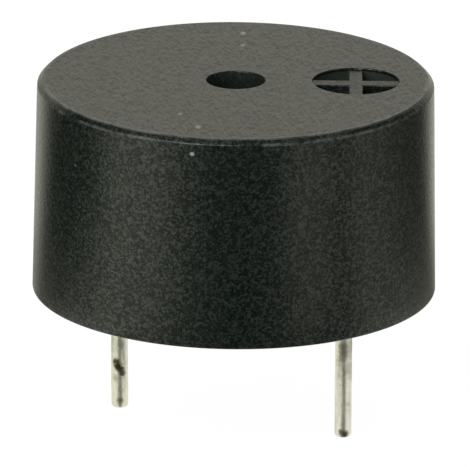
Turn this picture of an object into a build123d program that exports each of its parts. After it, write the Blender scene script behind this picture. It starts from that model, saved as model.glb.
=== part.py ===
from build123d import *
import os
from math import cos, radians, sin

# A round two-lead electronic buzzer in millimetres.
# The seating plane is z = 0, the case rises along +Z and the leads point down along -Z.
# +X runs from the case's axis to the plus mark and the positive lead.

# Case
base_diameter = 13.8
top_diameter = 13.56
case_height = 7.4
roof_thickness = 0.8
top_edge_break = 0.18
sound_hole_diameter = 2.0

# Plus mark: a round pocket crossed by two arms whose tops lie just under the top face
mark_centre_x = 4.1
mark_diameter = 2.95
mark_depth = 0.5
mark_upright_width = 0.46
mark_crossbar_width = 0.56
mark_arm_drop = 0.07

# Steps inside the case, from the roof down to the open end
chamber_diameter = 10.8
element_bore_diameter = 12.1
element_ledge_z = 4.6
mouth_bore_diameter = 12.6
board_ledge_z = 2.0
mouth_chamfer = 0.12

# Sounder element, stacked downwards from its ledge
plate_diameter = 12.0
plate_thickness = 0.1
ceramic_diameter = 9.0
ceramic_thickness = 0.12
electrode_diameter = 8.2
electrode_thickness = 0.02
tongue_width = 1.5
tongue_gap = 0.3
tongue_inner_reach = 0.6
tongue_angle = 235
bead_width = 0.55
bead_height = 0.5

# Circuit board
board_diameter = 12.5
board_thickness = 0.8
copper_thickness = 0.04
track_width = 0.4
pin_hole_diameter = 0.7
pin_pad_diameter = 1.8
wire_pad_side = 1.0

# Leads
lead_pitch = 7.62
lead_diameter = 0.6
positive_length = 5.4
negative_length = 4.4
tip_chamfer = 0.1
shank_side = 0.42
shank_bottom_z = 0.55
pin_above_board = 0.65
collar_diameter = 1.0
collar_height = 0.25

# Resin that closes the open end: flat in the middle and drawn down a little along the wall
resin_face_z = 0.5
wall_creep = 0.18
wall_creep_width = 0.7

# Parts soldered to the board
resistor_length = 1.6
resistor_width = 0.8
resistor_height = 0.45
cap_length = 0.3
cap_wrap = 0.02
end_pad_length = 0.8
end_pad_width = 0.9
package_length = 2.9
package_width = 1.3
package_height = 0.95
package_draft = 7
foot_reach = 1.2
foot_length = 0.35
foot_width = 0.4
leg_thickness = 0.12
leg_spacing = 1.9
standoff = 0.08

# Wires and solder
wire_diameter = 0.2
wire_sides = 6
wire_bend = 0.45
drop_radius = 0.42
drop_height = 0.28
drop_taper = 35
pin_solder_radius = 0.85
pin_solder_height = 0.45
pin_solder_taper = 48
wedge_length = 0.25
wedge_height = 0.3

# Levels that follow from the dimensions above
plate_bottom_z = element_ledge_z - plate_thickness
ceramic_bottom_z = plate_bottom_z - ceramic_thickness
electrode_bottom_z = ceramic_bottom_z - electrode_thickness
board_top_z = board_ledge_z
board_bottom_z = board_top_z - board_thickness
copper_top_z = board_top_z + copper_thickness
pin_top_z = board_top_z + pin_above_board
lead_x = lead_pitch / 2

# Places on the board, seen from above
transistor_place = (0, 1.6)
load_resistor_place = (3.3, 2.5)
bias_resistor_place = (2.4, -1.9)
feedback_resistor_place = (0.2, -3.4)
resistor_end = (resistor_length - cap_length) / 2 + 0.1
main_pad = (0, 4.0)
feedback_pad = (-1.9, -3.2)
ground_pad = (-4.6, -2.3)

# Places on the element, where each wire starts and where it turns down to the board
tongue_heading = (cos(radians(tongue_angle)), sin(radians(tongue_angle)))
main_start = (0.6, 2.4)
main_turn = (0.2, 5.1)
feedback_start = (2.8 * tongue_heading[0], 2.8 * tongue_heading[1])
feedback_turn = (5.0 * tongue_heading[0], 5.0 * tongue_heading[1])
ground_start = (-4.48, -2.1)
ground_turn = (-5.2, -0.5)

part_list = []


def keep(builder, name):
    """Label a finished piece and put it on the list to be written."""
    builder.part.label = name
    part_list.append(builder.part)
    return builder


def make_case():
    """Turned section with its three inner steps, then the sound hole and the plus mark in the roof."""
    base_radius = base_diameter / 2
    mouth_radius = mouth_bore_diameter / 2
    element_radius = element_bore_diameter / 2
    chamber_radius = chamber_diameter / 2
    roof_bottom_z = case_height - roof_thickness
    with BuildPart() as case:
        with BuildSketch(Plane.XZ):
            with BuildLine():
                Polyline(
                    (0, case_height),
                    (top_diameter / 2, case_height),
                    (base_radius, 0),
                    (mouth_radius + mouth_chamfer, 0),
                    (mouth_radius, mouth_chamfer),
                    (mouth_radius, board_ledge_z),
                    (element_radius, board_ledge_z),
                    (element_radius, element_ledge_z),
                    (chamber_radius, element_ledge_z),
                    (chamber_radius, roof_bottom_z),
                    (0, roof_bottom_z),
                    close=True,
                )
            make_face()
        revolve(axis=Axis.Z)
        top_edge = case.edges().filter_by(GeomType.CIRCLE).sort_by(Axis.Z)[-1]
        chamfer(top_edge, length=top_edge_break)
        with BuildSketch(Plane.XY.offset(case_height)):
            Circle(sound_hole_diameter / 2)
        extrude(amount=-roof_thickness, mode=Mode.SUBTRACT)
        with BuildSketch(Plane.XY.offset(case_height)):
            with Locations((mark_centre_x, 0)):
                Circle(mark_diameter / 2)
        extrude(amount=-mark_depth, mode=Mode.SUBTRACT)
        with BuildSketch(Plane.XY.offset(case_height - mark_depth)):
            with Locations((mark_centre_x, 0)):
                arm_length = mark_diameter + mark_crossbar_width
                Rectangle(arm_length, mark_crossbar_width)
                Rectangle(mark_upright_width, arm_length)
        extrude(amount=mark_depth - mark_arm_drop)
    return case


def make_disc(diameter, bottom_z, thickness):
    """Plain round plate."""
    with BuildPart() as disc:
        with BuildSketch(Plane.XY.offset(bottom_z)):
            Circle(diameter / 2)
        extrude(amount=thickness)
    return disc


def draw_tongue(width, mode=Mode.ADD):
    """Draw a strip from near the middle of the film out past its edge, with a round inner end."""
    middle = (tongue_inner_reach + electrode_diameter) / 2
    length = electrode_diameter - tongue_inner_reach + width
    with Locations((middle * tongue_heading[0], middle * tongue_heading[1])):
        SlotOverall(length, width, rotation=tongue_angle, mode=mode)


def make_electrodes():
    """Silver film on the ceramic: a disc for the main signal with a tongue for feedback let into it."""
    with BuildPart() as main_electrode:
        with BuildSketch(Plane.XY.offset(electrode_bottom_z)):
            Circle(electrode_diameter / 2)
            draw_tongue(tongue_width + 2 * tongue_gap, mode=Mode.SUBTRACT)
        extrude(amount=electrode_thickness)
    with BuildPart() as feedback_electrode:
        with BuildSketch(Plane.XY.offset(electrode_bottom_z)):
            draw_tongue(tongue_width)
            Circle(electrode_diameter / 2, mode=Mode.INTERSECT)
        extrude(amount=electrode_thickness)
    return main_electrode, feedback_electrode


def make_bead():
    """Ring of sealant in the corner under the plate's edge."""
    outer = element_bore_diameter / 2
    with BuildPart() as bead:
        with BuildSketch(Plane.XZ):
            with BuildLine():
                Polyline(
                    (outer - bead_width, plate_bottom_z),
                    (outer, plate_bottom_z - bead_height),
                    (outer, plate_bottom_z),
                    close=True,
                )
            make_face()
        revolve(axis=Axis.Z)
    return bead


def make_board():
    """Round board with a hole for each pin."""
    with BuildPart() as board:
        with BuildSketch(Plane.XY.offset(board_bottom_z)):
            Circle(board_diameter / 2)
            with Locations((lead_x, 0), (-lead_x, 0)):
                Circle(pin_hole_diameter / 2, mode=Mode.SUBTRACT)
        extrude(amount=board_thickness)
    return board


def make_copper():
    """Pads and tracks of the oscillator circuit."""
    tx, ty = transistor_place
    base_foot = (tx + leg_spacing / 2, ty - foot_reach)
    emitter_foot = (tx - leg_spacing / 2, ty - foot_reach)
    collector_foot = (tx, ty + foot_reach)
    load_low = (load_resistor_place[0], load_resistor_place[1] - resistor_end)
    load_high = (load_resistor_place[0], load_resistor_place[1] + resistor_end)
    bias_left = (bias_resistor_place[0] - resistor_end, bias_resistor_place[1])
    bias_right = (bias_resistor_place[0] + resistor_end, bias_resistor_place[1])
    feedback_left = (feedback_resistor_place[0] - resistor_end, feedback_resistor_place[1])
    feedback_right = (feedback_resistor_place[0] + resistor_end, feedback_resistor_place[1])
    routes = [
        [(lead_x, 0), load_low],
        [(lead_x, 0), bias_right],
        [base_foot, (base_foot[0], bias_left[1]), bias_left],
        [(base_foot[0], bias_left[1]), feedback_right],
        [feedback_left, feedback_pad],
        [(-lead_x, 0), (emitter_foot[0] - 1, 0), emitter_foot],
        [(-lead_x, 0), ground_pad],
        [collector_foot, main_pad],
        [load_high, (tx, load_high[1])],
    ]
    with BuildPart() as copper:
        with BuildSketch(Plane.XY.offset(board_top_z)):
            for route in routes:
                with BuildLine():
                    Polyline(*route)
                trace(line_width=track_width)
            with Locations((lead_x, 0), (-lead_x, 0)):
                Circle(pin_pad_diameter / 2)
            with Locations(main_pad, feedback_pad, ground_pad):
                Rectangle(wire_pad_side, wire_pad_side)
            with Locations(load_low, load_high):
                Rectangle(end_pad_width, end_pad_length)
            with Locations(bias_left, bias_right, feedback_left, feedback_right):
                Rectangle(end_pad_length, end_pad_width)
            with Locations(base_foot, emitter_foot, collector_foot):
                Rectangle(end_pad_length, end_pad_length)
            with Locations((lead_x, 0), (-lead_x, 0)):
                Circle(pin_hole_diameter / 2, mode=Mode.SUBTRACT)
        extrude(amount=copper_thickness)
    return copper


def make_pin(x, length):
    """Round lead with a cut tip. Inside the resin it is squared, and a collar stops it under the board."""
    lead_radius = lead_diameter / 2
    with BuildPart() as pin:
        with BuildSketch(Plane.XY.offset(shank_bottom_z)):
            with Locations((x, 0)):
                Circle(lead_radius)
        extrude(amount=-(shank_bottom_z + length))
        tip_edge = pin.edges().filter_by(GeomType.CIRCLE).sort_by(Axis.Z)[0]
        chamfer(tip_edge, length=tip_chamfer)
        with BuildSketch(Plane.XY.offset(shank_bottom_z)):
            with Locations((x, 0)):
                Rectangle(shank_side, shank_side)
        extrude(amount=pin_top_z - shank_bottom_z)
        with BuildSketch(Plane.XY.offset(board_bottom_z)):
            with Locations((x, 0)):
                Circle(collar_diameter / 2)
        extrude(amount=-collar_height)
    return pin


def make_pin_solder(x, pin):
    """Cone of solder between the pad and the pin."""
    with BuildPart() as joint:
        with BuildSketch(Plane.XY.offset(copper_top_z)):
            with Locations((x, 0)):
                Circle(pin_solder_radius)
        extrude(amount=pin_solder_height, taper=pin_solder_taper)
        add(pin.part, mode=Mode.SUBTRACT)
    return joint


def make_resistor(place, turn):
    """Chip resistor: a flat body with a slightly thicker cap wrapped round each end."""
    body_width = resistor_width - 2 * cap_wrap
    body_height = resistor_height - 2 * cap_wrap
    footprint = Plane.XY.offset(copper_top_z)
    with BuildPart() as resistor:
        with BuildSketch(footprint.offset(cap_wrap)):
            with Locations(Location(place, turn)):
                Rectangle(resistor_length - cap_length, body_width)
        extrude(amount=body_height)
        with BuildSketch(footprint):
            with Locations(Location(place, turn)):
                with GridLocations(resistor_length - cap_length, 1, 2, 1):
                    Rectangle(cap_length, resistor_width)
        extrude(amount=resistor_height)
    return resistor


def make_transistor():
    """Moulded three-leg package, its halves drafted from the line where the legs come out."""
    tx, ty = transistor_place
    split_z = copper_top_z + standoff + package_height / 2
    foot_z = copper_top_z + leg_thickness / 2
    inside = package_width / 2 - 0.3
    knee = package_width / 2 + 0.15
    leg_places = [
        (tx - leg_spacing / 2, -1),
        (tx + leg_spacing / 2, -1),
        (tx, 1),
    ]
    with BuildPart() as legs:
        for leg_x, side in leg_places:
            leg_plane = Plane(origin=(leg_x, ty, 0), x_dir=(0, side, 0), z_dir=(side, 0, 0))
            with BuildSketch(leg_plane):
                with BuildLine():
                    FilletPolyline(
                        (inside, split_z),
                        (knee, split_z),
                        (foot_reach - foot_length / 2, foot_z),
                        (foot_reach + foot_length / 2, foot_z),
                        radius=leg_thickness,
                    )
                trace(line_width=leg_thickness)
            extrude(amount=foot_width / 2, both=True)
    with BuildPart() as body:
        for rise in (1, -1):
            with BuildSketch(Plane.XY.offset(split_z)):
                with Locations(transistor_place):
                    Rectangle(package_length, package_width)
            extrude(amount=rise * package_height / 2, taper=package_draft)
        add(legs.part, mode=Mode.SUBTRACT)
    return body, legs


def make_component_solder():
    """Wedge of solder at each resistor end and at the toe of each transistor leg."""
    half = resistor_length / 2
    toe = foot_reach + foot_length / 2
    tx, ty = transistor_place
    lx, ly = load_resistor_place
    bx, by = bias_resistor_place
    fx, fy = feedback_resistor_place
    wedges = [
        (lx, ly + half, 90, resistor_width, wedge_height),
        (lx, ly - half, 270, resistor_width, wedge_height),
        (bx + half, by, 0, resistor_width, wedge_height),
        (bx - half, by, 180, resistor_width, wedge_height),
        (fx + half, fy, 0, resistor_width, wedge_height),
        (fx - half, fy, 180, resistor_width, wedge_height),
        (tx - leg_spacing / 2, ty - toe, 270, foot_width, leg_thickness),
        (tx + leg_spacing / 2, ty - toe, 270, foot_width, leg_thickness),
        (tx, ty + toe, 90, foot_width, leg_thickness),
    ]
    with BuildPart() as solder:
        for x, y, heading, width, height in wedges:
            away = (cos(radians(heading)), sin(radians(heading)), 0)
            across = (away[1], -away[0], 0)
            with BuildSketch(Plane(origin=(x, y, copper_top_z), x_dir=away, z_dir=across)):
                with BuildLine():
                    Polyline((0, 0), (wedge_length, 0), (0, height), close=True)
                make_face()
            extrude(amount=width / 2, both=True)
    return solder


def make_wire(start, turn, end, upper_z):
    """Wire from the element outwards, down past its edge and back in along the board to a pad."""
    lower_z = copper_top_z + drop_height / 2
    with BuildPart() as wire:
        with BuildLine() as path:
            FilletPolyline(
                (*start, upper_z),
                (*turn, upper_z),
                (*turn, lower_z),
                (*end, lower_z),
                radius=wire_bend,
            )
        with BuildSketch(Plane(origin=path.line @ 0, z_dir=path.line % 0)):
            RegularPolygon(wire_diameter / 2, wire_sides)
        sweep(path=path.line)
    return wire


def make_drops(places, wires):
    """Drop of solder round the end of each wire. Each place is (x, y), the level it sits on and its rise."""
    with BuildPart() as drops:
        for place, level, rise in places:
            with BuildSketch(Plane.XY.offset(level)):
                with Locations(place):
                    Circle(drop_radius)
            extrude(amount=rise * drop_height, taper=drop_taper)
        for wire in wires:
            add(wire.part, mode=Mode.SUBTRACT)
    return drops


def make_resin(pins):
    """Cast plug between the board and the open end, moulded round both pins."""
    mouth_radius = mouth_bore_diameter / 2
    with BuildPart() as resin:
        with BuildSketch(Plane.XZ):
            with BuildLine():
                Polyline(
                    (0, resin_face_z),
                    (mouth_radius - wall_creep_width, resin_face_z),
                    (mouth_radius, resin_face_z - wall_creep),
                    (mouth_radius, board_bottom_z),
                    (0, board_bottom_z),
                    close=True,
                )
            make_face()
        revolve(axis=Axis.Z)
        for pin in pins:
            add(pin.part, mode=Mode.SUBTRACT)
    return resin


case = keep(make_case(), "case")

brass_plate = keep(make_disc(plate_diameter, plate_bottom_z, plate_thickness), "brass_plate")
piezo_ceramic = keep(make_disc(ceramic_diameter, ceramic_bottom_z, ceramic_thickness), "piezo_ceramic")
main_electrode, feedback_electrode = make_electrodes()
keep(main_electrode, "main_electrode")
keep(feedback_electrode, "feedback_electrode")
keep(make_bead(), "sealant_bead")

keep(make_board(), "circuit_board")
keep(make_copper(), "copper_tracks")

positive_pin = keep(make_pin(lead_x, positive_length), "positive_pin")
negative_pin = keep(make_pin(-lead_x, negative_length), "negative_pin")
keep(make_pin_solder(lead_x, positive_pin), "positive_pin_solder")
keep(make_pin_solder(-lead_x, negative_pin), "negative_pin_solder")

transistor_body, transistor_legs = make_transistor()
keep(transistor_body, "transistor_body")
keep(transistor_legs, "transistor_legs")
keep(make_resistor(load_resistor_place, 90), "load_resistor")
keep(make_resistor(bias_resistor_place, 0), "bias_resistor")
keep(make_resistor(feedback_resistor_place, 0), "feedback_resistor")
keep(make_component_solder(), "component_solder")

film_wire_z = electrode_bottom_z - drop_height / 2
plate_wire_z = plate_bottom_z - drop_height / 2
main_wire = keep(make_wire(main_start, main_turn, main_pad, film_wire_z), "main_wire")
feedback_wire = keep(
    make_wire(feedback_start, feedback_turn, feedback_pad, film_wire_z), "feedback_wire"
)
ground_wire = keep(make_wire(ground_start, ground_turn, ground_pad, plate_wire_z), "ground_wire")
wires = [main_wire, feedback_wire, ground_wire]

element_places = [
    (main_start, electrode_bottom_z, -1),
    (feedback_start, electrode_bottom_z, -1),
    (ground_start, plate_bottom_z, -1),
]
board_places = [(pad, copper_top_z, 1) for pad in (main_pad, feedback_pad, ground_pad)]
keep(make_drops(element_places, wires), "element_solder")
keep(make_drops(board_places, wires), "board_wire_solder")

keep(make_resin([positive_pin, negative_pin]), "potting_resin")

os.makedirs("parts", exist_ok=True)
for piece in part_list:
    export_step(piece, f"parts/{piece.label}.step")
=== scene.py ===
import math

import bmesh
import bpy
from mathutils import Matrix, Vector, noise
from mathutils.geometry import delaunay_2d_cdt


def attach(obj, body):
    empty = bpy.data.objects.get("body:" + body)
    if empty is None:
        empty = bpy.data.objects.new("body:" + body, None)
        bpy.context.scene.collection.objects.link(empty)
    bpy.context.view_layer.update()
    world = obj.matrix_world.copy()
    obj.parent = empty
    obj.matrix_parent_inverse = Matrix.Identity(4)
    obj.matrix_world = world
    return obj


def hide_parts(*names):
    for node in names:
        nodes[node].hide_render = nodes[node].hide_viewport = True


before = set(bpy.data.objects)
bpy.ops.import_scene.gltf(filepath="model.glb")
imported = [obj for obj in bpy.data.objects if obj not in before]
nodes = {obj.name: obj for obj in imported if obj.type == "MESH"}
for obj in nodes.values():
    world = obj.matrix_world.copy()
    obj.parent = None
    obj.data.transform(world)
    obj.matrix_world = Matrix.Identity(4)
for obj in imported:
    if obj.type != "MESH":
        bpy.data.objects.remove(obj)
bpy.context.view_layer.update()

# Shapes are worked out in millimetres and scaled to metres when a piece is finished.
MM = 0.001

# The model's own dimensions, repeated for the pieces that are remade here
BASE_RADIUS = 6.9
TOP_RADIUS = 6.78
CASE_HEIGHT = 7.4
ROOF_BOTTOM = 6.6
TOP_CHAMFER = 0.18
HOLE_RADIUS = 1.0
MARK_X = 4.1
MARK_RADIUS = 1.475
MARK_UPRIGHT_HALF = 0.23
MARK_CROSSBAR_HALF = 0.28
MARK_FLOOR = 6.9
MARK_ARM_TOP = 7.33
CHAMBER_RADIUS = 5.4
ELEMENT_RADIUS = 6.05
ELEMENT_LEDGE = 4.6
MOUTH_RADIUS = 6.3
MOUTH_CHAMFER = 0.12
BOARD_LEDGE = 2.0
BOARD_BOTTOM = 1.2
LEAD_X = 3.81
LEAD_RADIUS = 0.3
POSITIVE_LENGTH = 5.4
NEGATIVE_LENGTH = 4.4
SHANK_HALF = 0.21
SHANK_BOTTOM = 0.5
SHANK_TOP = 2.65
COLLAR_RADIUS = 0.5
COLLAR_BOTTOM = 0.95
RESIN_FACE = 0.5
FLOOR_Z = -POSITIVE_LENGTH


def circle(radius, z, steps, centre=(0.0, 0.0)):
    """Points round a level circle."""
    points = []
    for i in range(steps):
        angle = 2 * math.pi * i / steps
        points.append((centre[0] + radius * math.cos(angle), centre[1] + radius * math.sin(angle), z))
    return points


def add_ring(bm, points):
    """New vertices at the given points."""
    return [bm.verts.new(point) for point in points]


def bridge(bm, ring_a, ring_b):
    """Join two closed rings that have the same number of points."""
    count = len(ring_a)
    for i in range(count):
        j = (i + 1) % count
        bm.faces.new((ring_a[i], ring_a[j], ring_b[j], ring_b[i]))


def finish_mesh(bm, name):
    """Turn a bmesh into a mesh, its faces all pointing outwards."""
    bmesh.ops.recalc_face_normals(bm, faces=bm.faces)
    mesh = bpy.data.meshes.new(name)
    bm.to_mesh(mesh)
    bm.free()
    return mesh


def add_object(name, mesh):
    piece = bpy.data.objects.new(name, mesh)
    bpy.context.scene.collection.objects.link(piece)
    return piece


def smooth(mesh, sharp_degrees):
    """Shade smooth, with creases kept where faces meet at more than the given angle."""
    for face in mesh.polygons:
        face.use_smooth = True
    mesh.set_sharp_from_angle(angle=math.radians(sharp_degrees))


def apply_modifiers(piece):
    """Apply a piece's modifiers to a new mesh and take the working piece away."""
    graph = bpy.context.evaluated_depsgraph_get()
    mesh = bpy.data.meshes.new_from_object(piece.evaluated_get(graph))
    bpy.data.objects.remove(piece)
    return mesh


# Case

# How far a cutter goes past the face that it cuts
CUT_PAST = 0.3


def arc(centre, radius, start, end, steps):
    """Points of an arc in the radius and height plane, angles in degrees from outwards to upwards."""
    points = []
    for i in range(steps + 1):
        angle = math.radians(start + (end - start) * i / steps)
        points.append((centre[0] + radius * math.cos(angle), centre[1] + radius * math.sin(angle)))
    return points


def case_section():
    """The case's half section, from the edge of its flat top round the outside to its inner roof."""
    crease = 0.06
    foot = 0.06
    arc_steps = 4
    wall_rows = 12
    reach = TOP_CHAMFER + crease * math.tan(math.radians(22.5))
    section = arc((TOP_RADIUS - reach, CASE_HEIGHT - crease), crease, 90, 45, arc_steps)
    section += arc((TOP_RADIUS - crease, CASE_HEIGHT - reach), crease, 45, 0, arc_steps)
    for i in range(1, wall_rows):
        z = (CASE_HEIGHT - reach) + (foot - CASE_HEIGHT + reach) * i / wall_rows
        section.append((BASE_RADIUS + (TOP_RADIUS - BASE_RADIUS) * z / CASE_HEIGHT, z))
    section += arc((BASE_RADIUS - foot, foot), foot, 0, -90, arc_steps)
    section += arc((MOUTH_RADIUS + MOUTH_CHAMFER, MOUTH_CHAMFER), MOUTH_CHAMFER, -90, -180, arc_steps)
    section += [
        (MOUTH_RADIUS, BOARD_LEDGE),
        (ELEMENT_RADIUS, BOARD_LEDGE),
        (ELEMENT_RADIUS, ELEMENT_LEDGE),
        (CHAMBER_RADIUS, ELEMENT_LEDGE),
        (CHAMBER_RADIUS, ROOF_BOTTOM),
    ]
    return section


def turned_case():
    """The case turned from its section, still without the hole and the mark."""
    steps = 240
    bm = bmesh.new()
    rings = [add_ring(bm, circle(radius, z, steps)) for radius, z in case_section()]
    for upper, lower in zip(rings, rings[1:]):
        bridge(bm, upper, lower)
    bm.faces.new(rings[0])
    bm.faces.new(rings[-1])
    return add_object("case_work", finish_mesh(bm, "case_work"))


def hole_cutter():
    """The sound hole's space, past both faces of the roof."""
    steps = 96
    bm = bmesh.new()
    low = add_ring(bm, circle(HOLE_RADIUS, ROOF_BOTTOM - CUT_PAST, steps))
    high = add_ring(bm, circle(HOLE_RADIUS, CASE_HEIGHT + CUT_PAST, steps))
    bridge(bm, low, high)
    bm.faces.new(low)
    bm.faces.new(high)
    return add_object("hole_work", finish_mesh(bm, "hole_work"))


def mark_cutter():
    """The plus mark's space as one closed solid: a shallow disc with four deep quadrants under it."""
    half_x = MARK_UPRIGHT_HALF
    half_y = MARK_CROSSBAR_HALF
    wall_steps = 18
    end_steps = 5
    angle_y = math.asin(half_y / MARK_RADIUS)
    angle_x = math.acos(half_x / MARK_RADIUS)
    corners = [
        (angle_y, angle_x, half_x, half_y),
        (math.pi - angle_x, math.pi - angle_y, -half_x, half_y),
        (math.pi + angle_y, math.pi + angle_x, -half_x, -half_y),
        (2 * math.pi - angle_x, 2 * math.pi - angle_y, half_x, -half_y),
    ]
    angles = []
    spans = []
    for index, (start, end, _, _) in enumerate(corners):
        first = len(angles)
        angles += [start + (end - start) * i / wall_steps for i in range(wall_steps + 1)]
        spans.append((first, len(angles) - 1))
        following = corners[(index + 1) % 4][0]
        if index == 3:
            following += 2 * math.pi
        angles += [end + (following - end) * i / end_steps for i in range(1, end_steps)]

    def rim(z):
        return [
            (MARK_X + MARK_RADIUS * math.cos(angle), MARK_RADIUS * math.sin(angle), z) for angle in angles
        ]

    bm = bmesh.new()
    top = add_ring(bm, rim(CASE_HEIGHT + CUT_PAST))
    middle = add_ring(bm, rim(MARK_ARM_TOP))
    bm.faces.new(top)
    bridge(bm, top, middle)
    arms = []
    count = len(angles)
    for index, (first, last) in enumerate(spans):
        _, _, x, y = corners[index]
        high_corner = bm.verts.new((MARK_X + x, y, MARK_ARM_TOP))
        low_corner = bm.verts.new((MARK_X + x, y, MARK_FLOOR))
        floor = [bm.verts.new((*middle[i].co.xy, MARK_FLOOR)) for i in range(first, last + 1)]
        for i in range(len(floor) - 1):
            bm.faces.new((middle[first + i], middle[first + i + 1], floor[i + 1], floor[i]))
        bm.faces.new((middle[last], high_corner, low_corner, floor[-1]))
        bm.faces.new((high_corner, middle[first], floor[0], low_corner))
        bm.faces.new(floor + [low_corner])
        following = spans[(index + 1) % 4][0]
        if index == 3:
            following += count
        arms += [middle[first], high_corner]
        arms += [middle[i % count] for i in range(last, following)]
    bm.faces.new(arms)
    return add_object("mark_work", finish_mesh(bm, "mark_work"))


def make_case():
    """Turned body with the hole and the mark cut out and its sharp edges slightly rounded."""
    body = turned_case()
    cutters = [hole_cutter(), mark_cutter()]
    for cutter in cutters:
        cut = body.modifiers.new("cut", "BOOLEAN")
        cut.operation = "DIFFERENCE"
        cut.solver = "EXACT"
        cut.object = cutter
    edge = body.modifiers.new("edge", "BEVEL")
    edge.limit_method = "ANGLE"
    edge.angle_limit = math.radians(40)
    edge.width = 0.04
    edge.segments = 3
    mesh = apply_modifiers(body)
    for cutter in cutters:
        bpy.data.objects.remove(cutter)
    mesh.transform(Matrix.Scale(MM, 4))
    smooth(mesh, 50)
    piece = add_object("case_shell", mesh)
    weights = piece.modifiers.new("weights", "WEIGHTED_NORMAL")
    weights.keep_sharp = True
    weights.weight = 100
    return piece


# Leads

LEAD_STEPS = 48


def lead_section(tip_z, seed):
    """Radius and height down a drawn wire: slightly uneven, with a cut end that the tinning rounds."""
    tip = 0.13
    tip_steps = 7
    uneven = 0.004
    swell_rate = 1.3
    row_gap = 0.12
    section = []
    z = SHANK_BOTTOM
    while z > tip_z + tip:
        swell = noise.noise(Vector((seed, 0.0, z * swell_rate)))
        section.append((LEAD_RADIUS - uneven + uneven * swell, z))
        z -= row_gap
    section += arc((LEAD_RADIUS - uneven - tip, tip_z + tip), tip, 0, -90, tip_steps)
    return section


def lead_bend(z, tip_z, bend):
    """Sideways offset of a lead that was bent a little after it was soldered in."""
    if z >= RESIN_FACE:
        return 0.0
    bend_bottom = -1.7
    spring_back = 0.35
    down = min((RESIN_FACE - z) / (RESIN_FACE - bend_bottom), 1.0)
    back = max((bend_bottom - z) / (bend_bottom - tip_z), 0.0)
    return bend * (down * down * (3 - 2 * down) - spring_back * back)


def add_wire(bm, x, tip_z, seed, bend):
    """The round wire below the shank, closed at both ends."""
    dent_depth = 0.005
    dent_rate_round = 0.9
    dent_rate_along = 2.2
    rings = []
    for radius, z in lead_section(tip_z, seed):
        middle = x + lead_bend(z, tip_z, bend)
        ring = []
        for i in range(LEAD_STEPS):
            angle = 2 * math.pi * i / LEAD_STEPS
            direction = Vector((math.cos(angle), math.sin(angle), 0.0))
            round_wire = direction * dent_rate_round
            dent = noise.noise(Vector((round_wire.x + seed, round_wire.y, z * dent_rate_along)))
            local = radius - dent_depth + dent_depth * dent
            ring.append(bm.verts.new((middle + local * direction.x, local * direction.y, z)))
        rings.append(ring)
    for upper, lower in zip(rings, rings[1:]):
        bridge(bm, upper, lower)
    bm.faces.new(rings[0])
    bm.faces.new(rings[-1])


def add_shank(bm, x):
    """The squared length that goes up through the board."""
    bevel = 0.03
    overlap = 0.1
    square = []
    for sx, sy in ((1, 1), (-1, 1), (-1, -1), (1, -1)):
        flat = [(SHANK_HALF, SHANK_HALF - bevel), (SHANK_HALF - bevel, SHANK_HALF)]
        if sx * sy < 0:
            flat.reverse()
        square += [(x + sx * px, sy * py) for px, py in flat]
    levels = []
    for z in (SHANK_BOTTOM - overlap, SHANK_TOP):
        levels.append(add_ring(bm, [(px, py, z) for px, py in square]))
    bridge(bm, levels[0], levels[1])
    bm.faces.new(levels[0])
    bm.faces.new(levels[1])


def add_collar(bm, x):
    """The ring round the shank that sits under the board."""
    bevel = 0.04
    inner_radius = SHANK_HALF * 1.2
    collar = [
        (inner_radius, COLLAR_BOTTOM),
        (COLLAR_RADIUS - bevel, COLLAR_BOTTOM),
        (COLLAR_RADIUS, COLLAR_BOTTOM + bevel),
        (COLLAR_RADIUS, BOARD_BOTTOM - bevel),
        (COLLAR_RADIUS - bevel, BOARD_BOTTOM),
        (inner_radius, BOARD_BOTTOM),
    ]
    rings = [add_ring(bm, circle(radius, z, LEAD_STEPS, (x, 0.0))) for radius, z in collar]
    for lower, upper in zip(rings, rings[1:]):
        bridge(bm, lower, upper)
    bridge(bm, rings[-1], rings[0])


def make_lead(name, x, tip_z, seed, bend):
    """Round lead, with the squared shank and the collar that the resin holds."""
    bm = bmesh.new()
    add_wire(bm, x, tip_z, seed, bend)
    add_shank(bm, x)
    add_collar(bm, x)
    mesh = finish_mesh(bm, name)
    mesh.transform(Matrix.Scale(MM, 4))
    smooth(mesh, 50)
    return add_object(name, mesh)


# Resin


def resin_level(x, y):
    """Height of the open resin face, which creeps down the wall and the leads and ripples a little."""
    wall_creep = 0.18
    wall_reach = 0.24
    lead_creep = 0.17
    lead_reach = 0.13
    ripple_depth = 0.018
    ripple_rate = 0.45
    wall = wall_creep * math.exp(-(MOUTH_RADIUS - math.hypot(x, y)) / wall_reach)
    leads = 0.0
    for lead_x in (LEAD_X, -LEAD_X):
        gap = math.hypot(x - lead_x, y) - LEAD_RADIUS
        leads = max(leads, lead_creep * math.exp(-max(gap, 0.0) / lead_reach))
    ripple = ripple_depth * noise.noise(Vector((x * ripple_rate, y * ripple_rate, 3.0)))
    return RESIN_FACE - wall - leads + ripple


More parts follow.
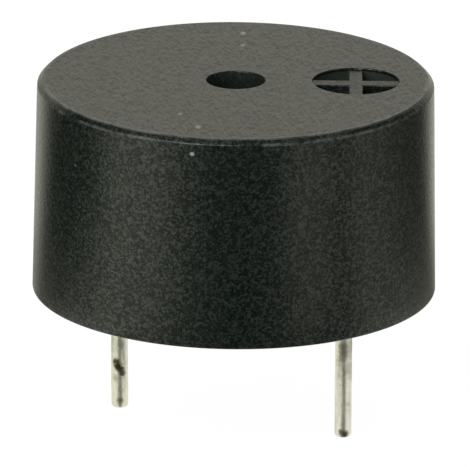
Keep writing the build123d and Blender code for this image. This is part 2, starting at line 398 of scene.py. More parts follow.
def resin_points(wall_steps):
    """Points of the resin face: rings along its wall, rings round each lead, then a grid between them.

    Also gives where each lead's innermost ring starts.
    """
    flat = []
    for back in (0.0, 0.04, 0.1, 0.18, 0.3, 0.46, 0.7, 1.0):
        flat += [point[:2] for point in circle(MOUTH_RADIUS - back, 0, wall_steps)]
    lead_starts = []
    for lead_x in (LEAD_X, -LEAD_X):
        lead_starts.append(len(flat))
        for gap in (0.0, 0.025, 0.06, 0.11, 0.18, 0.28, 0.42):
            flat += [point[:2] for point in circle(LEAD_RADIUS + gap, 0, LEAD_STEPS, (lead_x, 0.0))]
    pitch = 0.22
    row_gap = pitch * 0.866
    grid_radius = MOUTH_RADIUS - 1.15
    grid_gap = LEAD_RADIUS + 0.56
    reach = int(MOUTH_RADIUS / pitch) + 1
    for row in range(-reach, reach + 1):
        for column in range(-reach, reach + 1):
            x = (column + 0.5 * (row % 2)) * pitch
            y = row * row_gap
            clear = min(math.hypot(x - LEAD_X, y), math.hypot(x + LEAD_X, y))
            if math.hypot(x, y) < grid_radius and clear > grid_gap:
                flat.append((x, y))
    return flat, lead_starts


def make_resin():
    """The cast plug, closed all round, with a hole that fits each lead and its collar."""
    wall_steps = 160
    hole_edge = LEAD_RADIUS * 0.998
    flat, lead_starts = resin_points(wall_steps)
    edges = [(i, (i + 1) % wall_steps) for i in range(wall_steps)]
    for start in lead_starts:
        edges += [(start + i, start + (i + 1) % LEAD_STEPS) for i in range(LEAD_STEPS)]
    points, _, faces, _, _, _ = delaunay_2d_cdt([Vector(point) for point in flat], edges, [], 0, 1e-6)

    bm = bmesh.new()
    skin = [bm.verts.new((point.x, point.y, resin_level(point.x, point.y))) for point in points]
    for face in faces:
        middle_x = sum(points[i].x for i in face) / len(face)
        middle_y = sum(points[i].y for i in face) / len(face)
        from_lead = min(math.hypot(middle_x - LEAD_X, middle_y), math.hypot(middle_x + LEAD_X, middle_y))
        if from_lead > hole_edge:
            bm.faces.new([skin[i] for i in face])
    wall = add_ring(bm, circle(MOUTH_RADIUS, BOARD_BOTTOM, wall_steps))
    bridge(bm, skin[:wall_steps], wall)
    loops = [wall]
    for start, lead_x in zip(lead_starts, (LEAD_X, -LEAD_X)):
        previous = skin[start : start + LEAD_STEPS]
        for radius, z in (
            (LEAD_RADIUS, COLLAR_BOTTOM),
            (COLLAR_RADIUS, COLLAR_BOTTOM),
            (COLLAR_RADIUS, BOARD_BOTTOM),
        ):
            ring = add_ring(bm, circle(radius, z, LEAD_STEPS, (lead_x, 0.0)))
            bridge(bm, previous, ring)
            previous = ring
        loops.append(previous)
    rim = []
    for loop in loops:
        rim += [bm.edges.get((loop[i], loop[(i + 1) % len(loop)])) for i in range(len(loop))]
    bmesh.ops.triangle_fill(bm, edges=rim, use_beauty=True)
    mesh = finish_mesh(bm, "resin_plug")
    mesh.transform(Matrix.Scale(MM, 4))
    smooth(mesh, 40)
    return add_object("resin_plug", mesh)


# Materials

PLASTIC_IOR = 1.5
# Share of a spot's radius, or of a band's half width, that has its full depth
FULL_SHARE = 0.3


def feed(tree, socket, value):
    """Link a socket to another node's output, or write a constant on it."""
    if isinstance(value, bpy.types.NodeSocket):
        tree.links.new(value, socket)
    else:
        socket.default_value = value


def colour(red, green, blue):
    return (red, green, blue, 1.0)


def grey(level):
    return colour(level, level, level)


def add_math(tree, operation, first, second=None):
    node = tree.nodes.new("ShaderNodeMath")
    node.operation = operation
    feed(tree, node.inputs[0], first)
    if second is not None:
        feed(tree, node.inputs[1], second)
    return node.outputs[0]


def add_vector_math(tree, operation, *vectors):
    """Vector arithmetic. A distance or a length comes back as a number."""
    node = tree.nodes.new("ShaderNodeVectorMath")
    node.operation = operation
    for socket, vector in zip(node.inputs, vectors):
        feed(tree, socket, vector)
    return node.outputs["Value" if operation in ("DISTANCE", "LENGTH") else "Vector"]


def add_split(tree, vector):
    """The X, Y and Z of a vector."""
    node = tree.nodes.new("ShaderNodeSeparateXYZ")
    feed(tree, node.inputs[0], vector)
    return tuple(node.outputs)


def add_product(tree, *factors):
    total = factors[0]
    for factor in factors[1:]:
        total = add_math(tree, "MULTIPLY", total, factor)
    return total


def add_average(tree, *values):
    total = values[0]
    for value in values[1:]:
        total = add_math(tree, "ADD", total, value)
    return add_math(tree, "DIVIDE", total, len(values))


def add_range(tree, value, low, high, to_low, to_high):
    """Map a value smoothly from one range onto another, held at its ends."""
    node = tree.nodes.new("ShaderNodeMapRange")
    node.interpolation_type = "SMOOTHSTEP"
    feed(tree, node.inputs["Value"], value)
    node.inputs["From Min"].default_value = low
    node.inputs["From Max"].default_value = high
    node.inputs["To Min"].default_value = to_low
    node.inputs["To Max"].default_value = to_high
    return node.outputs["Result"]


def add_above(tree, length, start_mm, end_mm):
    """None while a length is under start_mm, one when it is over end_mm."""
    return add_range(tree, length, start_mm * MM, end_mm * MM, 0.0, 1.0)


def add_below(tree, length, start_mm, end_mm):
    """One while a length is under start_mm, none when it is over end_mm."""
    return add_range(tree, length, start_mm * MM, end_mm * MM, 1.0, 0.0)


def add_band(tree, length, middle_mm, half_mm):
    """One where a length is at the middle of the band, none past its half width."""
    away = add_math(tree, "ABSOLUTE", add_math(tree, "SUBTRACT", length, middle_mm * MM))
    return add_below(tree, away, FULL_SHARE * half_mm, half_mm)


def add_mix(tree, amount, first, second, blend="MIX"):
    """Mix two colours or two numbers."""
    node = tree.nodes.new("ShaderNodeMix")
    node.data_type = "RGBA"
    node.blend_type = blend
    feed(tree, node.inputs[0], amount)
    feed(tree, node.inputs[6], first)
    feed(tree, node.inputs[7], second)
    return node.outputs[2]


def add_tint(tree, value, tint):
    """One colour multiplied by another."""
    return add_mix(tree, 1.0, value, tint, "MULTIPLY")


def add_scaled(tree, place, size_mm, stretch=(1.0, 1.0, 1.0)):
    """The place in steps of size_mm, so that a texture at scale 1 has features of about that size."""
    mapping = tree.nodes.new("ShaderNodeMapping")
    mapping.inputs["Scale"].default_value = tuple(part / (size_mm * MM) for part in stretch)
    feed(tree, mapping.inputs["Vector"], place)
    return mapping.outputs[0]


def add_noise(tree, place, size_mm, detail=3.0, rough=0.55, stretch=(1.0, 1.0, 1.0)):
    """Noise whose features are about size_mm across."""
    node = tree.nodes.new("ShaderNodeTexNoise")
    node.inputs["Scale"].default_value = 1.0
    node.inputs["Detail"].default_value = detail
    node.inputs["Roughness"].default_value = rough
    feed(tree, node.inputs["Vector"], add_scaled(tree, place, size_mm, stretch))
    return node.outputs["Fac"]


def add_grains(tree, place, size_mm, stretch=(1.0, 1.0, 1.0)):
    """Packed grains about size_mm across, each with a value of its own from 0 to 1."""
    node = tree.nodes.new("ShaderNodeTexVoronoi")
    node.inputs["Scale"].default_value = 1.0
    feed(tree, node.inputs["Vector"], add_scaled(tree, place, size_mm, stretch))
    split = tree.nodes.new("ShaderNodeSeparateColor")
    feed(tree, split.inputs[0], node.outputs["Color"])
    return split.outputs[0]


def add_bump(tree, height, depth_mm):
    node = tree.nodes.new("ShaderNodeBump")
    node.inputs["Strength"].default_value = 1.0
    node.inputs["Distance"].default_value = depth_mm * MM
    feed(tree, node.inputs["Height"], height)
    return node.outputs["Normal"]


def add_waver(tree, place, size_mm, reach_mm):
    """Push each point about by up to reach_mm, so that spots get an uneven outline."""
    node = tree.nodes.new("ShaderNodeTexNoise")
    node.inputs["Scale"].default_value = 1.0
    feed(tree, node.inputs["Vector"], add_scaled(tree, place, size_mm))
    reach = reach_mm * MM
    shift = add_vector_math(tree, "MULTIPLY_ADD", node.outputs["Color"], (2 * reach,) * 3, (-reach,) * 3)
    return add_vector_math(tree, "ADD", place, shift)


def add_spots(tree, place, spots):
    """The depth of each spot at its middle, none past its radius. Spots are (x, y, z, radius, depth)."""
    total = None
    for x, y, z, radius, depth in spots:
        distance = add_vector_math(tree, "DISTANCE", place, (x * MM, y * MM, z * MM))
        amount = add_range(tree, distance, FULL_SHARE * radius * MM, radius * MM, depth, 0.0)
        total = amount if total is None else add_math(tree, "MAXIMUM", total, amount)
    return total


def add_from_axis(tree, place, x_mm):
    """Level distance from an upright axis at the given X."""
    level = add_vector_math(tree, "MULTIPLY", place, (1.0, 1.0, 0.0))
    return add_vector_math(tree, "DISTANCE", level, (x_mm * MM, 0.0, 0.0))


def start_material(name):
    """A new material with its shader and its object coordinates."""
    material = bpy.data.materials.new(name)
    material.use_nodes = True
    tree = material.node_tree
    shader = tree.nodes["Principled BSDF"]
    place = tree.nodes.new("ShaderNodeTexCoord").outputs["Object"]
    return material, tree, shader, place


def grained(name, dark, light, grain_mm, rough, depth_mm, metallic=0.0, stretch=(1.0, 1.0, 1.0)):
    """A material whose colour, roughness and relief all follow one grain and one broader cloud."""
    material, tree, shader, place = start_material(name)
    grain = add_noise(tree, place, grain_mm, stretch=stretch)
    cloud = add_noise(tree, place, grain_mm * 6, detail=2.0)
    grain_share = add_math(tree, "MULTIPLY", grain, 0.6)
    cloud_share = add_math(tree, "MULTIPLY", cloud, 0.4)
    mixed = add_math(tree, "ADD", grain_share, cloud_share)
    amount = add_range(tree, mixed, 0.35, 0.65, 0.0, 1.0)
    feed(tree, shader.inputs["Base Color"], add_mix(tree, amount, colour(*dark), colour(*light)))
    feed(tree, shader.inputs["Roughness"], add_range(tree, mixed, 0.35, 0.65, rough[0], rough[1]))
    feed(tree, shader.inputs["Normal"], add_bump(tree, grain, depth_mm))
    shader.inputs["Metallic"].default_value = metallic
    shader.inputs["IOR"].default_value = PLASTIC_IOR
    return material


def case_grit(tree, place, on_top):
    """Colour of the moulded grit, coarser on the top face, and how light each grain is."""
    top_stretch = (1.0, 0.6, 1.0)
    side_grit = add_average(tree, add_grains(tree, place, 0.055), add_grains(tree, place, 0.09))
    top_grit = add_average(
        tree,
        add_grains(tree, place, 0.09, top_stretch),
        add_grains(tree, place, 0.15, top_stretch),
    )
    side_light = add_math(tree, "POWER", add_range(tree, side_grit, 0.05, 0.95, 0.0, 1.0), 1.6)
    top_light = add_math(tree, "POWER", add_range(tree, top_grit, 0.1, 0.9, 0.0, 1.0), 1.3)
    light = add_mix(tree, on_top, side_light, top_light)
    side_body = add_mix(tree, side_light, colour(0.0010, 0.0052, 0.0036), colour(0.0150, 0.0215, 0.0170))
    top_body = add_mix(tree, top_light, colour(0.0030, 0.0045, 0.0030), colour(0.0200, 0.0228, 0.0190))
    body = add_mix(tree, on_top, side_body, top_body)
    blotches = add_noise(tree, place, 0.42, rough=0.6, stretch=top_stretch)
    mottle = add_product(tree, on_top, add_range(tree, blotches, 0.40, 0.68, 0.0, 0.3))
    body = add_mix(tree, mottle, body, colour(0.0380, 0.0410, 0.0340))
    cloud = add_noise(tree, place, 0.8)
    tint = add_range(tree, cloud, 0.35, 0.65, 0.0, 0.3)
    body = add_mix(tree, tint, body, colour(0.0105, 0.0115, 0.0085))
    return body, light


def paint_mark_shade_and_light(tree, body, height, radius, from_mark):
    """Painted shade on the mark's arms and in its pocket, painted light on the pocket's outer wall and the
    hole's wall, and how much gloss the mark's arms and pocket lose.
    """
    inside_mark = add_below(tree, from_mark, MARK_RADIUS - 0.015, MARK_RADIUS + 0.025)
    # Painted shade on the mark's arms.
    on_arms = add_product(tree, inside_mark, add_band(tree, height, MARK_ARM_TOP, 0.05))
    arm_shade = add_math(tree, "MULTIPLY", on_arms, 0.4)
    body = add_mix(tree, arm_shade, body, colour(0.0010, 0.0030, 0.0015))
    # Painted shade in the mark's recessed pocket.
    under_arms = add_below(tree, height, MARK_ARM_TOP - 0.06, MARK_ARM_TOP - 0.02)
    in_pocket = add_product(tree, inside_mark, under_arms)
    pocket_shade = add_math(tree, "MULTIPLY", in_pocket, 0.8)
    body = add_mix(tree, pocket_shade, body, colour(0.0050, 0.0085, 0.0060))

    # Painted light on the mark pocket's outer wall and on the hole's wall.
    mark_wall_painted_light = add_product(
        tree,
        add_band(tree, from_mark, MARK_RADIUS, 0.06),
        add_below(tree, height, CASE_HEIGHT - 0.14, CASE_HEIGHT - 0.08),
    )
    hole_wall_painted_light = add_product(
        tree,
        add_band(tree, radius, HOLE_RADIUS, 0.04),
        add_below(tree, height, CASE_HEIGHT - 0.06, CASE_HEIGHT - 0.03),
    )
    # wall carries the painted light of both walls.
    wall = add_math(tree, "MAXIMUM", add_math(tree, "MULTIPLY", hole_wall_painted_light, 0.35), mark_wall_painted_light)
    body = add_mix(tree, wall, body, colour(0.0330, 0.0400, 0.0310))

    arm_dull = add_math(tree, "MULTIPLY", on_arms, 0.15)
    pocket_dull = add_math(tree, "MULTIPLY", in_pocket, 0.2)
    return body, add_math(tree, "MAXIMUM", arm_dull, pocket_dull)


def edge_wear_and_highlight(tree, body, place, height, radius):
    """Lighter lines along the two creases of the top's chamfer: a painted highlight where the creases catch
    the light, broken up like wear.
    """
    upper_crease = add_product(
        tree,
        add_band(tree, radius, TOP_RADIUS - TOP_CHAMFER - 0.03, 0.13),
        add_above(tree, height, CASE_HEIGHT - 0.06, CASE_HEIGHT - 0.02),
    )
    lower_crease = add_product(
        tree,
        add_band(tree, height, CASE_HEIGHT - TOP_CHAMFER, 0.07),
        add_above(tree, radius, TOP_RADIUS - 0.08, TOP_RADIUS - 0.02),
    )
    scuff = add_noise(tree, place, 0.9, detail=4.0, rough=0.7)
    # Painted highlight on the creases, patchy like wear.
    upper_wear_and_highlight = add_math(tree, "MULTIPLY", upper_crease, add_range(tree, scuff, 0.4, 0.6, 0.35, 1.0))
    lower_wear_and_highlight = add_math(tree, "MULTIPLY", lower_crease, add_range(tree, scuff, 0.4, 0.6, 0.0, 0.8))
    worn_and_highlit = add_math(tree, "MAXIMUM", upper_wear_and_highlight, lower_wear_and_highlight)
    return add_mix(tree, worn_and_highlit, body, colour(0.0900, 0.0950, 0.0830))


def case_plastic(dust_grains):
    """Dark moulded plastic with fine grit, a worn top edge with a painted highlight, painted shade and light
    in the mark and the hole, and a few grains of dust.
    """
    material, tree, shader, place = start_material("case_plastic")
    height = add_split(tree, place)[2]
    radius = add_from_axis(tree, place, 0.0)
    from_mark = add_from_axis(tree, place, MARK_X)
    on_top = add_above(tree, height, CASE_HEIGHT - 0.015, CASE_HEIGHT - 0.005)

    body, light = case_grit(tree, place, on_top)
    # Painted shade and painted light in the mark and the hole.
    body, dull = paint_mark_shade_and_light(tree, body, height, radius, from_mark)
    # Painted highlight with wear along the top's chamfer.
    body = edge_wear_and_highlight(tree, body, place, height, radius)
    dust = add_spots(tree, add_waver(tree, place, 0.08, 0.03), dust_grains)
    body = add_mix(tree, dust, body, colour(0.30, 0.31, 0.28))
    gloss = add_range(tree, light, 0.0, 1.0, 0.33, 0.88)

    side_relief = add_noise(tree, place, 0.13, detail=2.0)
    top_relief = add_noise(tree, place, 0.11, detail=2.0, rough=0.6, stretch=(1.0, 0.24, 1.0))
    top_relief = add_math(tree, "MULTIPLY", top_relief, 4.2)
    relief = add_mix(tree, on_top, side_relief, top_relief)

    feed(tree, shader.inputs["Base Color"], body)
    feed(tree, shader.inputs["Roughness"], add_range(tree, light, 0.0, 1.0, 0.24, 0.34))
    feed(tree, shader.inputs["Specular IOR Level"], add_math(tree, "SUBTRACT", gloss, dull))
    feed(tree, shader.inputs["Normal"], add_bump(tree, relief, 0.010))
    shader.inputs["IOR"].default_value = PLASTIC_IOR
    return material


def lead_metal(name, spots):
    """Tinned wire, drawn along its length, with the given dark spots; the broad soft ones are painted shade
    below the case.
    """
    material, tree, shader, place = start_material(name)
    streak = add_noise(tree, place, 0.08, stretch=(1.0, 1.0, 0.12))
    patch = add_noise(tree, place, 0.5)
    bright = add_range(tree, streak, 0.35, 0.65, 0.0, 1.0)
    body = add_mix(tree, bright, colour(0.66, 0.66, 0.56), colour(0.84, 0.84, 0.75))
    dull = add_range(tree, patch, 0.58, 0.75, 0.0, 0.6)
    body = add_mix(tree, dull, body, colour(0.42, 0.42, 0.30))
    # Dark spots, and painted shade from the broad soft ones below the case.
    dark = add_spots(tree, add_waver(tree, place, 0.14, 0.07), spots)
    body = add_mix(tree, dark, body, colour(0.046, 0.043, 0.018))
    rough = add_range(tree, streak, 0.3, 0.7, 0.2, 0.34)
    rough = add_math(tree, "ADD", rough, add_math(tree, "MULTIPLY", dark, 0.3))
    feed(tree, shader.inputs["Base Color"], body)
    feed(tree, shader.inputs["Roughness"], rough)
    feed(tree, shader.inputs["Normal"], add_bump(tree, patch, 0.03))
    shader.inputs["Metallic"].default_value = 1.0
    return material


def resistor_glaze(name, axis):
    """Black glazed middle between tinned ends, split along the given axis of the part's own box."""
    material, tree, shader, place = start_material(name)
    in_box = add_split(tree, tree.nodes["Texture Coordinate"].outputs["Generated"])
    from_middle = add_math(tree, "ABSOLUTE", add_math(tree, "SUBTRACT", in_box[axis], 0.5))
    end = add_range(tree, from_middle, 0.305, 0.318, 0.0, 1.0)
    grain = add_noise(tree, place, 0.08)
    glaze = add_mix(tree, grain, colour(0.010, 0.010, 0.011), colour(0.022, 0.022, 0.024))
    tin = add_mix(tree, grain, colour(0.55, 0.55, 0.54), colour(0.78, 0.78, 0.76))
    feed(tree, shader.inputs["Base Color"], add_mix(tree, end, glaze, tin))
    feed(tree, shader.inputs["Metallic"], end)
    feed(tree, shader.inputs["Roughness"], add_range(tree, grain, 0.3, 0.7, 0.22, 0.38))
    feed(tree, shader.inputs["Normal"], add_bump(tree, grain, 0.004))
    return material


def board_laminate():
    """Green board with the weave of its glass cloth just showing."""
    material, tree, shader, place = start_material("board_laminate")
    heights = []
    for direction in ("X", "Y"):
        wave = tree.nodes.new("ShaderNodeTexWave")
        wave.bands_direction = direction
        wave.inputs["Scale"].default_value = 600.0
        wave.inputs["Distortion"].default_value = 0.6
        feed(tree, wave.inputs["Vector"], place)
        heights.append(wave.outputs["Fac"])
    weave = add_math(tree, "MAXIMUM", heights[0], heights[1])
    body = add_mix(tree, weave, colour(0.018, 0.075, 0.025), colour(0.032, 0.12, 0.04))
    feed(tree, shader.inputs["Base Color"], body)
    feed(tree, shader.inputs["Roughness"], add_range(tree, weave, 0.0, 1.0, 0.28, 0.4))
    feed(tree, shader.inputs["Normal"], add_bump(tree, weave, 0.006))
    return material


def dress(piece, material):
    piece.data.materials.clear()
    piece.data.materials.append(material)


# Pieces

# Grains of dust, and dark spots on the tin whose broad soft ones are painted shade below the case, as x, y,
# z, radius and depth
case_dust = [
    (-1.453, -6.631, 6.868, 0.10, 1.0),
    (-5.425, -4.114, 5.623, 0.07, 0.3),
    (-1.262, -5.38, 7.4, 0.13, 0.8),
    (-1.262, -5.24, 7.4, 0.13, 0.8),
    (-1.879, -3.95, 7.4, 0.11, 0.5),
    (-1.879, -3.82, 7.4, 0.11, 0.5),
    (0.233, 5.24, 7.4, 0.13, 0.85),
    (0.233, 5.40, 7.4, 0.13, 0.85),
    (0.237, 3.88, 7.4, 0.12, 0.6),
    (0.237, 4.02, 7.4, 0.12, 0.6),
]
positive_spots_and_shade = [
    (3.79, -0.3, -2.10, 0.26, 0.6),
    (3.80, -0.3, -2.32, 0.24, 0.6),
    (3.78, -0.3, -2.52, 0.20, 0.4),
    # Broad soft spots: painted shade on the lead below the case.
    (4.02, -0.2, -2.2, 0.55, 0.3),
    (4.05, -0.2, -2.9, 0.45, 0.25),
    (3.77, -0.28, -5.20, 0.20, 0.8),
    (3.86, -0.27, -5.24, 0.18, 0.9),
]
negative_spots_and_shade = [
    (-3.99, -0.25, -2.71, 0.20, 0.95),
    (-3.95, -0.27, -2.87, 0.22, 1.0),
    (-3.86, -0.29, -2.97, 0.19, 0.95),
    (-3.80, -0.3, -3.10, 0.19, 0.9),
    (-4.00, -0.26, -3.30, 0.20, 0.35),
    (-3.87, -0.29, -4.11, 0.17, 0.65),
    (-3.85, -0.3, -2.10, 0.20, 0.4),
    # Broad soft spot: painted shade on the lead below the case.
    (-4.0, -0.2, -2.1, 0.45, 0.15),
]

case = make_case()
dress(case, case_plastic(case_dust))
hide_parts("case")
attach(case, "root")

positive = make_lead("positive_lead", LEAD_X, -POSITIVE_LENGTH, seed=1.7, bend=-0.02)
dress(positive, lead_metal("tinned_lead_positive", positive_spots_and_shade))
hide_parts("positive_pin")
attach(positive, "root")

negative = make_lead("negative_lead", -LEAD_X, -NEGATIVE_LENGTH, seed=6.4, bend=-0.1)
dress(negative, lead_metal("tinned_lead_negative", negative_spots_and_shade))
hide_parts("negative_pin")
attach(negative, "root")

resin = make_resin()
resin_dark = (0.004, 0.004, 0.0043)
resin_light = (0.009, 0.009, 0.0095)
resin_black = grained("potting_resin", resin_dark, resin_light, 0.35, (0.12, 0.24), 0.006)
dress(resin, resin_black)
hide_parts("potting_resin")
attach(resin, "root")

rolled = (1.0, 0.08, 1.0)
brass = grained("plate_brass", (0.50, 0.33, 0.10), (0.66, 0.47, 0.17), 0.12, (0.26, 0.42), 0.004, 1.0, rolled)
ceramic = grained("piezo_ceramic", (0.42, 0.37, 0.25), (0.53, 0.48, 0.35), 0.06, (0.55, 0.72), 0.004)
silver = grained("silver_film", (0.62, 0.62, 0.58), (0.82, 0.82, 0.78), 0.07, (0.34, 0.5), 0.004, 1.0)
sealant = grained("sealant", (0.62, 0.62, 0.57), (0.75, 0.75, 0.71), 0.3, (0.5, 0.66), 0.02)
copper = grained("track_copper", (0.52, 0.22, 0.11), (0.68, 0.33, 0.18), 0.1, (0.28, 0.42), 0.004, 1.0)
solder = grained("solder", (0.50, 0.50, 0.50), (0.70, 0.70, 0.70), 0.12, (0.16, 0.3), 0.008, 1.0)
leg_tin = grained("leg_tin", (0.52, 0.51, 0.44), (0.70, 0.69, 0.62), 0.08, (0.24, 0.38), 0.004, 1.0)
package = grained("package_plastic", (0.006, 0.006, 0.007), (0.014, 0.014, 0.016), 0.05, (0.46, 0.6), 0.006)
sleeve = grained("wire_sleeve", (0.26, 0.010, 0.008), (0.36, 0.018, 0.014), 0.2, (0.34, 0.46), 0.004)
flat_glaze = resistor_glaze("resistor_glaze", 0)
turned_glaze = resistor_glaze("resistor_glaze_turned", 1)
finishes = {
    "brass_plate": brass,
    "piezo_ceramic": ceramic,
    "main_electrode": silver,
    "feedback_electrode": silver,
    "sealant_bead": sealant,
    "circuit_board": board_laminate(),
    "copper_tracks": copper,
    "positive_pin_solder": solder,
    "negative_pin_solder": solder,
    "transistor_body": package,
    "transistor_legs": leg_tin,
    "load_resistor": turned_glaze,
    "bias_resistor": flat_glaze,
    "feedback_resistor": flat_glaze,
    "component_solder": solder,
    "main_wire": sleeve,
    "feedback_wire": sleeve,
    "ground_wire": sleeve,
    "element_solder": solder,
    "board_wire_solder": solder,
}
for node_name, finish in finishes.items():
    dress(nodes[node_name], finish)


# Surroundings


def add_surround(tree, direction, stops):
    """Brightness seen by heading, from stops of degrees and level: 0 is the camera's side, 90 its right."""
    along_x, along_y, _ = add_split(tree, direction)
    heading = add_math(tree, "ARCTAN2", along_x, add_math(tree, "MULTIPLY", along_y, -1.0))
    turn = add_math(tree, "ADD", add_math(tree, "DIVIDE", heading, 2 * math.pi), 0.5)
    ramp = tree.nodes.new("ShaderNodeValToRGB")
    ramp.color_ramp.interpolation = "EASE"
    elements = ramp.color_ramp.elements
    while len(elements) > 1:
        elements.remove(elements[-1])
    for index, (degrees, level) in enumerate(stops):
        place = degrees / 360 + 0.5
        element = elements[0] if index == 0 else elements.new(place)
        element.position = place
        element.color = grey(level)
    feed(tree, ramp.inputs[0], turn)
    return ramp.outputs["Color"]


# What gloss sees round the object: a bright room behind, a window each side and a dark room in front.
# The far stops are for the room and the distant floor, the near ones for the floor close to the object.
far_stops = [
    (-180, 0.84),
    (-164, 0.74),
    (-144, 0.85),
    (-134, 0.5),
    (-125, 0.05),
    (-90, 0.05),
    (-77, 0.35),
    (-69, 1.0),
    (-42, 0.95),
    (-28, 0.35),
    (-12, 0.1),
    (4, 0.05),
    (20, 0.12),
    (36, 0.68),
    (45, 0.68),
    (60, 0.22),
    (73, 0.66),
    (92, 0.3),
    (112, 0.12),
    (130, 0.08),
    (140, 0.5),
    (150, 0.97),
    (180, 0.84),
]
near_stops = [
    (-180, 0.75),
    (-140, 0.5),
    (-128, 0.22),
    (-106, 0.25),
    (-80, 0.85),
    (-66, 1.15),
    (-46, 0.65),
    (-24, 0.25),
    (0, 0.05),
    (22, 0.1),
    (34, 0.36),
    (54, 0.15),
    (70, 0.7),
    (92, 0.65),
    (114, 0.32),
    (138, 0.22),
    (150, 0.55),
    (180, 0.75),
]


def add_mix_shader(tree, amount, first, second):
    node = tree.nodes.new("ShaderNodeMixShader")
    feed(tree, node.inputs[0], amount)
    feed(tree, node.inputs[1], first)
    feed(tree, node.inputs[2], second)
    return node.outputs[0]


def add_shader(tree, kind, tone, strength=None):
    """A plain shader of one colour, with its strength if the kind has one."""
    node = tree.nodes.new(kind)
    feed(tree, node.inputs["Color"], tone)
    if strength is not None:
        node.inputs["Strength"].default_value = strength
    return node.outputs[0]


def add_by_ray(tree, to_camera, to_gloss, to_rest):
    """One shader for rays from the camera, one for reflected and transmitted rays, one for all others."""
    path = tree.nodes.new("ShaderNodeLightPath")
    shiny = add_math(tree, "MAXIMUM", path.outputs["Is Glossy Ray"], path.outputs["Is Transmission Ray"])
    unseen = add_mix_shader(tree, shiny, to_rest, to_gloss)
    return add_mix_shader(tree, path.outputs["Is Camera Ray"], unseen, to_camera)


def make_world():
    """White to the camera, the room to gloss, and an even fill for all other light."""
    world = bpy.data.worlds.new("studio")
    bpy.context.scene.world = world
    world.use_nodes = True
    tree = world.node_tree
    tree.nodes.clear()
    direction = tree.nodes.new("ShaderNodeTexCoord").outputs["Generated"]
    _, along_y, along_z = add_split(tree, direction)
    backwards = add_range(tree, along_y, -0.3, 0.1, 0.0, 1.0)
    ceiling = add_mix(tree, backwards, grey(0.15), grey(0.7))
    overhead = add_range(tree, along_z, 0.75, 0.95, 0.0, 1.0)
    room = add_mix(tree, overhead, add_surround(tree, direction, far_stops), ceiling)
    room = add_tint(tree, room, colour(1.0, 0.99, 0.86))
    white = add_shader(tree, "ShaderNodeBackground", grey(1.0), 1.0)
    glow = add_shader(tree, "ShaderNodeBackground", room, 0.75)
    fill = add_shader(tree, "ShaderNodeBackground", grey(1.0), 0.4)
    output = tree.nodes.new("ShaderNodeOutputWorld")
    feed(tree, output.inputs["Surface"], add_by_ray(tree, white, glow, fill))


def add_lanes(tree, place):
    """One on the floor in front of each lead, where the lead reflects the dark side of the room."""
    lane_heading = math.radians(5)
    total = None
    for x in (LEAD_X, -LEAD_X):
        from_lead = add_vector_math(tree, "SUBTRACT", place, (x * MM, 0.0, 0.0))
        along_x, along_y, _ = add_split(tree, from_lead)
        heading = add_math(tree, "ARCTAN2", along_x, add_math(tree, "MULTIPLY", along_y, -1.0))
        aside = add_math(tree, "ABSOLUTE", add_math(tree, "SUBTRACT", heading, lane_heading))
        lane = add_range(tree, aside, math.radians(12), math.radians(40), 1.0, 0.0)
        total = lane if total is None else add_math(tree, "MAXIMUM", total, lane)
    return total


def add_floor_glow(tree, place):
    """What gloss sees of the floor: light with two dark lanes close in, then near and far levels."""
    distance = add_vector_math(tree, "LENGTH", place)
    near = add_surround(tree, place, near_stops)
    far = add_surround(tree, place, far_stops)
    around = add_mix(tree, add_above(tree, distance, 22, 31), near, far)
    rightwards = add_above(tree, add_split(tree, place)[0], -4, 4)
    beside = add_mix(tree, rightwards, colour(0.95, 0.95, 0.96), colour(0.93, 0.895, 1.04))
    under = add_mix(tree, add_lanes(tree, place), beside, grey(0.28))
    around = add_mix(tree, add_above(tree, distance, 13, 18), under, around)
    return add_tint(tree, around, colour(1.0, 1.01, 0.84))


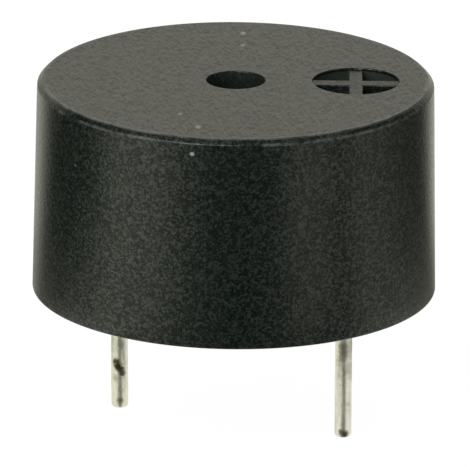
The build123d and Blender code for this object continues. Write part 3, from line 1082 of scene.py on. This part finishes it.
def floor_material():
    """Pale to the camera, with a soft shadow, and the floor's glow to gloss."""
    material = bpy.data.materials.new("floor")
    material.use_nodes = True
    tree = material.node_tree
    tree.nodes.clear()
    place = tree.nodes.new("ShaderNodeTexCoord").outputs["Object"]
    shaded = add_shader(tree, "ShaderNodeBsdfDiffuse", grey(0.12))
    lit = add_shader(tree, "ShaderNodeEmission", grey(1.0), 0.96)
    pale = tree.nodes.new("ShaderNodeAddShader")
    feed(tree, pale.inputs[0], shaded)
    feed(tree, pale.inputs[1], lit)
    glow = add_shader(tree, "ShaderNodeEmission", add_floor_glow(tree, place), 1.0)
    bounce = add_shader(tree, "ShaderNodeBsdfDiffuse", grey(0.8))
    output = tree.nodes.new("ShaderNodeOutputMaterial")
    feed(tree, output.inputs["Surface"], add_by_ray(tree, pale.outputs[0], glow, bounce))
    return material


def make_floor():
    """Plain level floor that touches the longer lead's tip."""
    half_side = 0.4
    bm = bmesh.new()
    bmesh.ops.create_grid(bm, x_segments=8, y_segments=8, size=half_side)
    for vert in bm.verts:
        vert.co.z = FLOOR_Z * MM
    mesh = bpy.data.meshes.new("floor")
    bm.to_mesh(mesh)
    bm.free()
    floor = add_object("floor", mesh)
    dress(floor, floor_material())


def add_lamp(name, place, size, watts):
    """Square soft lamp aimed at the object's origin."""
    data = bpy.data.lights.new(name, "AREA")
    data.shape = "SQUARE"
    data.size = size
    data.energy = watts
    lamp = bpy.data.objects.new(name, data)
    bpy.context.scene.collection.objects.link(lamp)
    lamp.location = place
    lamp.rotation_euler = (-Vector(place)).to_track_quat("-Z", "Y").to_euler()


def make_camera():
    """Camera fitted to the photograph: 18.2 degrees above level, turned half a degree about its view."""
    elevation = math.radians(18.2)
    roll = math.radians(0.55)
    distance = 0.55
    picture_pixels = 470
    pixels_per_mm = 29.18
    right_pixels = 1.2
    up_pixels = 50.6
    rise = Vector((0, math.sin(elevation), math.cos(elevation)))
    forward = Vector((0, math.cos(elevation), -math.sin(elevation)))
    level = Vector((1, 0, 0))
    right = level * math.cos(roll) + rise * math.sin(roll)
    up = rise * math.cos(roll) - level * math.sin(roll)
    target = (right * right_pixels + up * up_pixels) / pixels_per_mm * MM
    data = bpy.data.cameras.new("camera")
    data.sensor_width = 36.0
    data.lens = pixels_per_mm / MM * distance * data.sensor_width / picture_pixels
    data.clip_start = 0.01
    data.clip_end = 10.0
    camera = bpy.data.objects.new("camera", data)
    bpy.context.scene.collection.objects.link(camera)
    turn = Matrix((right, up, -forward)).transposed().to_4x4()
    camera.matrix_world = Matrix.Translation(target - forward * distance) @ turn
    bpy.context.scene.camera = camera


make_world()
make_floor()
add_lamp("key", (-0.14, -0.27, 0.21), size=0.25, watts=0.8)
make_camera()
bpy.context.scene.view_settings.view_transform = "Standard"
